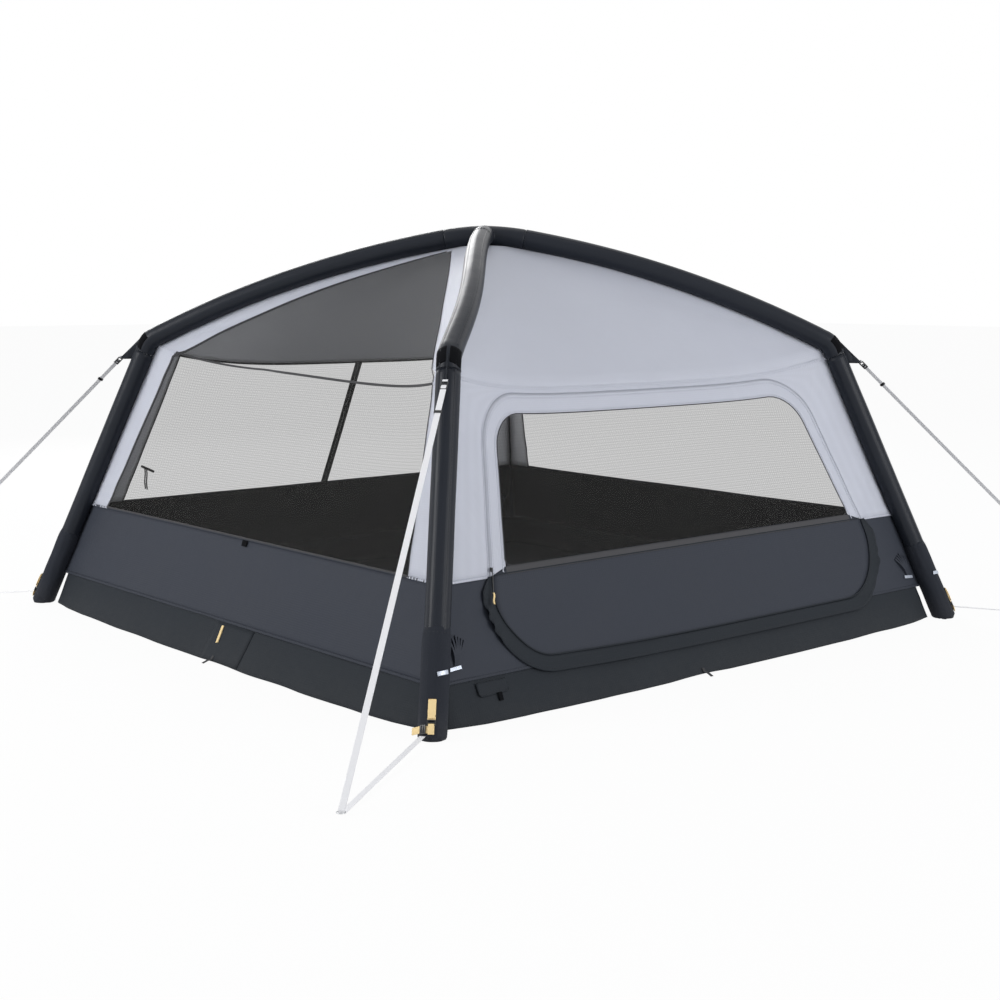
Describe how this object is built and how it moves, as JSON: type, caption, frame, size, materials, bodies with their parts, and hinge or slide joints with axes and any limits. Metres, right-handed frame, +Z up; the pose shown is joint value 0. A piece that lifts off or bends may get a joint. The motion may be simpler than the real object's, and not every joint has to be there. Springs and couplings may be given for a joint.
{
  "type": "inflatable tent",
  "caption": "Four-legged inflatable frame tent with mesh walls, a zipped front door, a mesh double door, mud skirts and guy straps.",
  "frame": {"origin": "on the ground under the hub", "axes": "+Z up, the zipped front door faces -Y, the full-height mesh wall faces -X"},
  "size_m": [4.6354, 4.4954, 1.9495],
  "materials": {
    "sleeve_fabric": "woven sleeve cloth, satin",
    "bladder_film": "welded film",
    "boot_fabric": "coated woven cloth, matte",
    "wall_fabric": "light polyester canopy cloth, matte",
    "sill_fabric": "dark polyester cloth, matte",
    "skirt_fabric": "dark coated cloth, matte",
    "mesh_fabric": "insect mesh",
    "floor_fabric": "coated groundsheet, matte",
    "orange_webbing": "woven webbing",
    "guy_webbing": "woven webbing",
    "black_plastic": "moulded, satin"
  },
  "bodies": {
    "frame": {"air_bladder": "bladder_film", "arm_sleeve_back_left": "sleeve_fabric", "arm_sleeve_back_right": "sleeve_fabric", "arm_sleeve_front_left": "sleeve_fabric", "arm_sleeve_front_right": "sleeve_fabric", "back_canopy": "wall_fabric", "foot_anchor_back_left": "orange_webbing", "foot_anchor_back_right": "orange_webbing", "foot_anchor_front_left": "orange_webbing", "foot_anchor_front_right": "orange_webbing", "foot_boot_back_left": "boot_fabric", "foot_boot_back_right": "boot_fabric", "foot_boot_front_left": "boot_fabric", "foot_boot_front_right": "boot_fabric", "groundsheet": "floor_fabric", "guy_buckle_back_left": "black_plastic", "guy_buckle_back_right": "black_plastic", "guy_buckle_front_left": "black_plastic", "guy_buckle_front_right": "black_plastic", "guy_gusset_back_left": "sleeve_fabric", "guy_gusset_back_right": "sleeve_fabric", "guy_gusset_front_left": "sleeve_fabric", "guy_gusset_front_right": "sleeve_fabric", "guy_strap_back_left": "guy_webbing", "guy_strap_back_right": "guy_webbing", "guy_strap_front_left": "guy_webbing", "guy_strap_front_right": "guy_webbing", "hub_sleeve": "sleeve_fabric", "left_border": "wall_fabric", "left_mesh": "mesh_fabric", "leg_sleeve_back_left": "sleeve_fabric", "leg_sleeve_back_right": "sleeve_fabric", "leg_sleeve_front_left": "sleeve_fabric", "leg_sleeve_front_right": "sleeve_fabric", "right_canopy": "wall_fabric", "right_mesh": "mesh_fabric", "roof_front": "wall_fabric", "sill_back": "sill_fabric", "sill_front": "sill_fabric", "sill_left": "sill_fabric", "sill_right": "sill_fabric", "skirt_back": "skirt_fabric", "skirt_front": "skirt_fabric", "skirt_left": "skirt_fabric", "skirt_right": "skirt_fabric", "valve_body": "black_plastic", "wall_front": "wall_fabric"},
    "door": {"door_border": "wall_fabric", "door_window_mesh": "mesh_fabric", "door_lower_panel": "sill_fabric"},
    "leaf_left": {"back_leaf_left": "mesh_fabric"},
    "leaf_right": {"back_leaf_right": "mesh_fabric"},
    "door_zip": {"door_zip_slider": "black_plastic"},
    "back_zip": {"back_zip_slider": "black_plastic"},
    "flap": {"cable_flap": "skirt_fabric"},
    "cap": {"valve_cap": "black_plastic"},
    "slider_front_left": {"guy_slider_front_left": "black_plastic"},
    "slider_front_right": {"guy_slider_front_right": "black_plastic"},
    "slider_back_right": {"guy_slider_back_right": "black_plastic"},
    "slider_back_left": {"guy_slider_back_left": "black_plastic"}
  },
  "joints": [
    {"name": "door_hinge", "type": "hinge", "parent": "frame", "child": "door", "pos_m": [1.1642, -1.4143, 0.616], "axis": [-0.258, 0.3426, 0.9033], "range_deg": [0, 100]},
    {"name": "leaf_left_hinge", "type": "hinge", "parent": "frame", "child": "leaf_left", "pos_m": [-1.2551, 1.4255, 0.6205], "axis": [0.2354, -0.3431, 0.9093], "range_deg": [0, 100]},
    {"name": "leaf_right_hinge", "type": "hinge", "parent": "frame", "child": "leaf_right", "pos_m": [1.2551, 1.4255, 0.6205], "axis": [0.2354, 0.3431, -0.9093], "range_deg": [0, 100]},
    {"name": "door_zip_travel", "type": "slide", "parent": "frame", "child": "door_zip", "axis": [0.2618, 0.3663, 0.8929], "range_m": [0, 0.42]},
    {"name": "back_zip_travel", "type": "slide", "parent": "frame", "child": "back_zip", "axis": [0, -0.4528, 0.8916], "range_m": [0, 0.6]},
    {"name": "cable_flap_hinge", "type": "hinge", "parent": "frame", "child": "flap", "pos_m": [-1.31, -1.5762, 0.1484], "axis": [-1, 0, 0], "range_deg": [0, 100]},
    {"name": "valve_cap_turn", "type": "hinge", "parent": "frame", "child": "cap", "pos_m": [1.4545, 1.4545, 0.62], "axis": [0.6458, 0.6458, 0.4073], "range_deg": [0, 360]},
    {"name": "guy_slider_front_left_travel", "type": "slide", "parent": "frame", "child": "slider_front_left", "axis": [-0.5759, -0.4307, -0.6949], "range_m": [-0.09, 0.6]},
    {"name": "guy_slider_front_right_travel", "type": "slide", "parent": "frame", "child": "slider_front_right", "axis": [0.5041, -0.5041, -0.7013], "range_m": [-0.09, 0.6]},
    {"name": "guy_slider_back_right_travel", "type": "slide", "parent": "frame", "child": "slider_back_right", "axis": [0.5041, 0.5041, -0.7013], "range_m": [-0.09, 0.6]},
    {"name": "guy_slider_back_left_travel", "type": "slide", "parent": "frame", "child": "slider_back_left", "axis": [-0.5041, 0.5041, -0.7013], "range_m": [-0.09, 0.6]}
  ]
}
